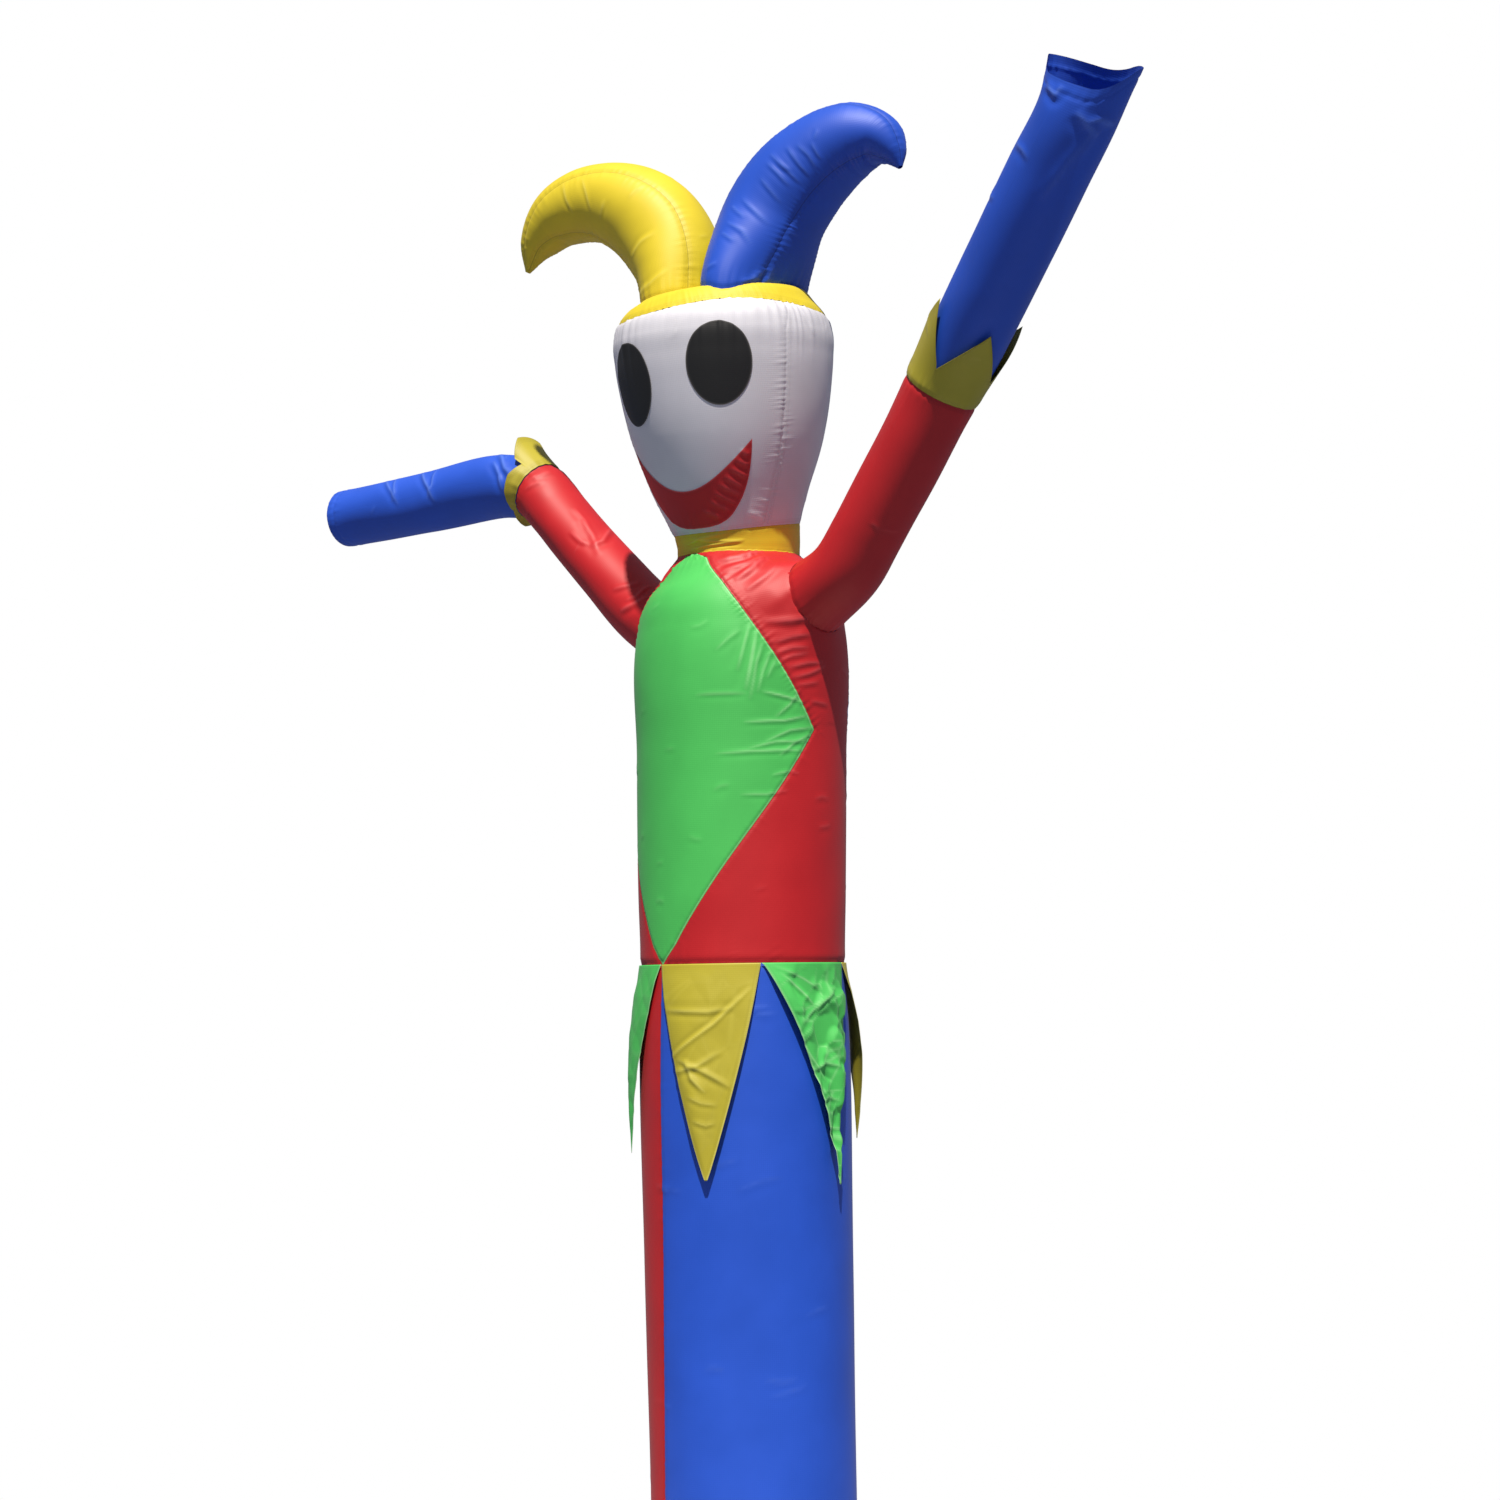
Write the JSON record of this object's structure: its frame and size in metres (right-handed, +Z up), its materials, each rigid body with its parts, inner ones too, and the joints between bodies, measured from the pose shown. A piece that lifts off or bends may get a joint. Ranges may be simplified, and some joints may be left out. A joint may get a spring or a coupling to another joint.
{
  "type": "inflatable air dancer",
  "caption": "Blown-up nylon tube dancer in a jester's shape, with curled cap horns, a smiling face, lozenge panels, waist flags and waving arms, open at the hem and at the hands.",
  "frame": {"origin": "on the floor, under the middle of the outline from hand to hand and from front to back", "axes": "+Z up along the tube of the leg, -Y the way the seam down the front of the leg and the front lozenge look, +X towards the figure's left, where the raised arm is"},
  "size_m": [2.4515, 0.5649, 3.4739],
  "materials": {
    "red_nylon": "coated nylon, soft sheen",
    "blue_nylon": "coated nylon, soft sheen",
    "green_nylon": "coated nylon, soft sheen",
    "yellow_nylon": "coated nylon, soft sheen",
    "gold_nylon": "coated nylon, soft sheen",
    "white_nylon": "coated nylon, soft sheen",
    "black_nylon": "coated nylon, soft sheen"
  },
  "bodies": {
    "root": {"leg_blue": "blue_nylon", "leg_red": "red_nylon", "waist_flag_1": "gold_nylon", "waist_flag_2": "green_nylon", "waist_flag_3": "gold_nylon", "waist_flag_4": "green_nylon", "waist_flag_5": "gold_nylon", "waist_flag_6": "green_nylon", "torso_front": "green_nylon", "torso_back": "blue_nylon", "torso_left": "red_nylon", "torso_right": "red_nylon", "collar": "yellow_nylon", "head_face": "white_nylon", "head_back_left": "white_nylon", "head_back_right": "white_nylon", "eye_left": "black_nylon", "eye_right": "black_nylon", "mouth": "red_nylon", "cap": "yellow_nylon", "horn_blue_front": "blue_nylon", "horn_blue_left": "blue_nylon", "horn_blue_back": "blue_nylon", "horn_blue_right": "blue_nylon", "horn_yellow_front": "yellow_nylon", "horn_yellow_left": "yellow_nylon", "horn_yellow_back": "yellow_nylon", "horn_yellow_right": "yellow_nylon", "arm_left_upper": "red_nylon", "arm_left_fore": "blue_nylon", "cuff_left": "gold_nylon", "arm_right_upper": "red_nylon", "arm_right_fore": "blue_nylon", "cuff_right": "gold_nylon"}
  },
  "joints": []
}
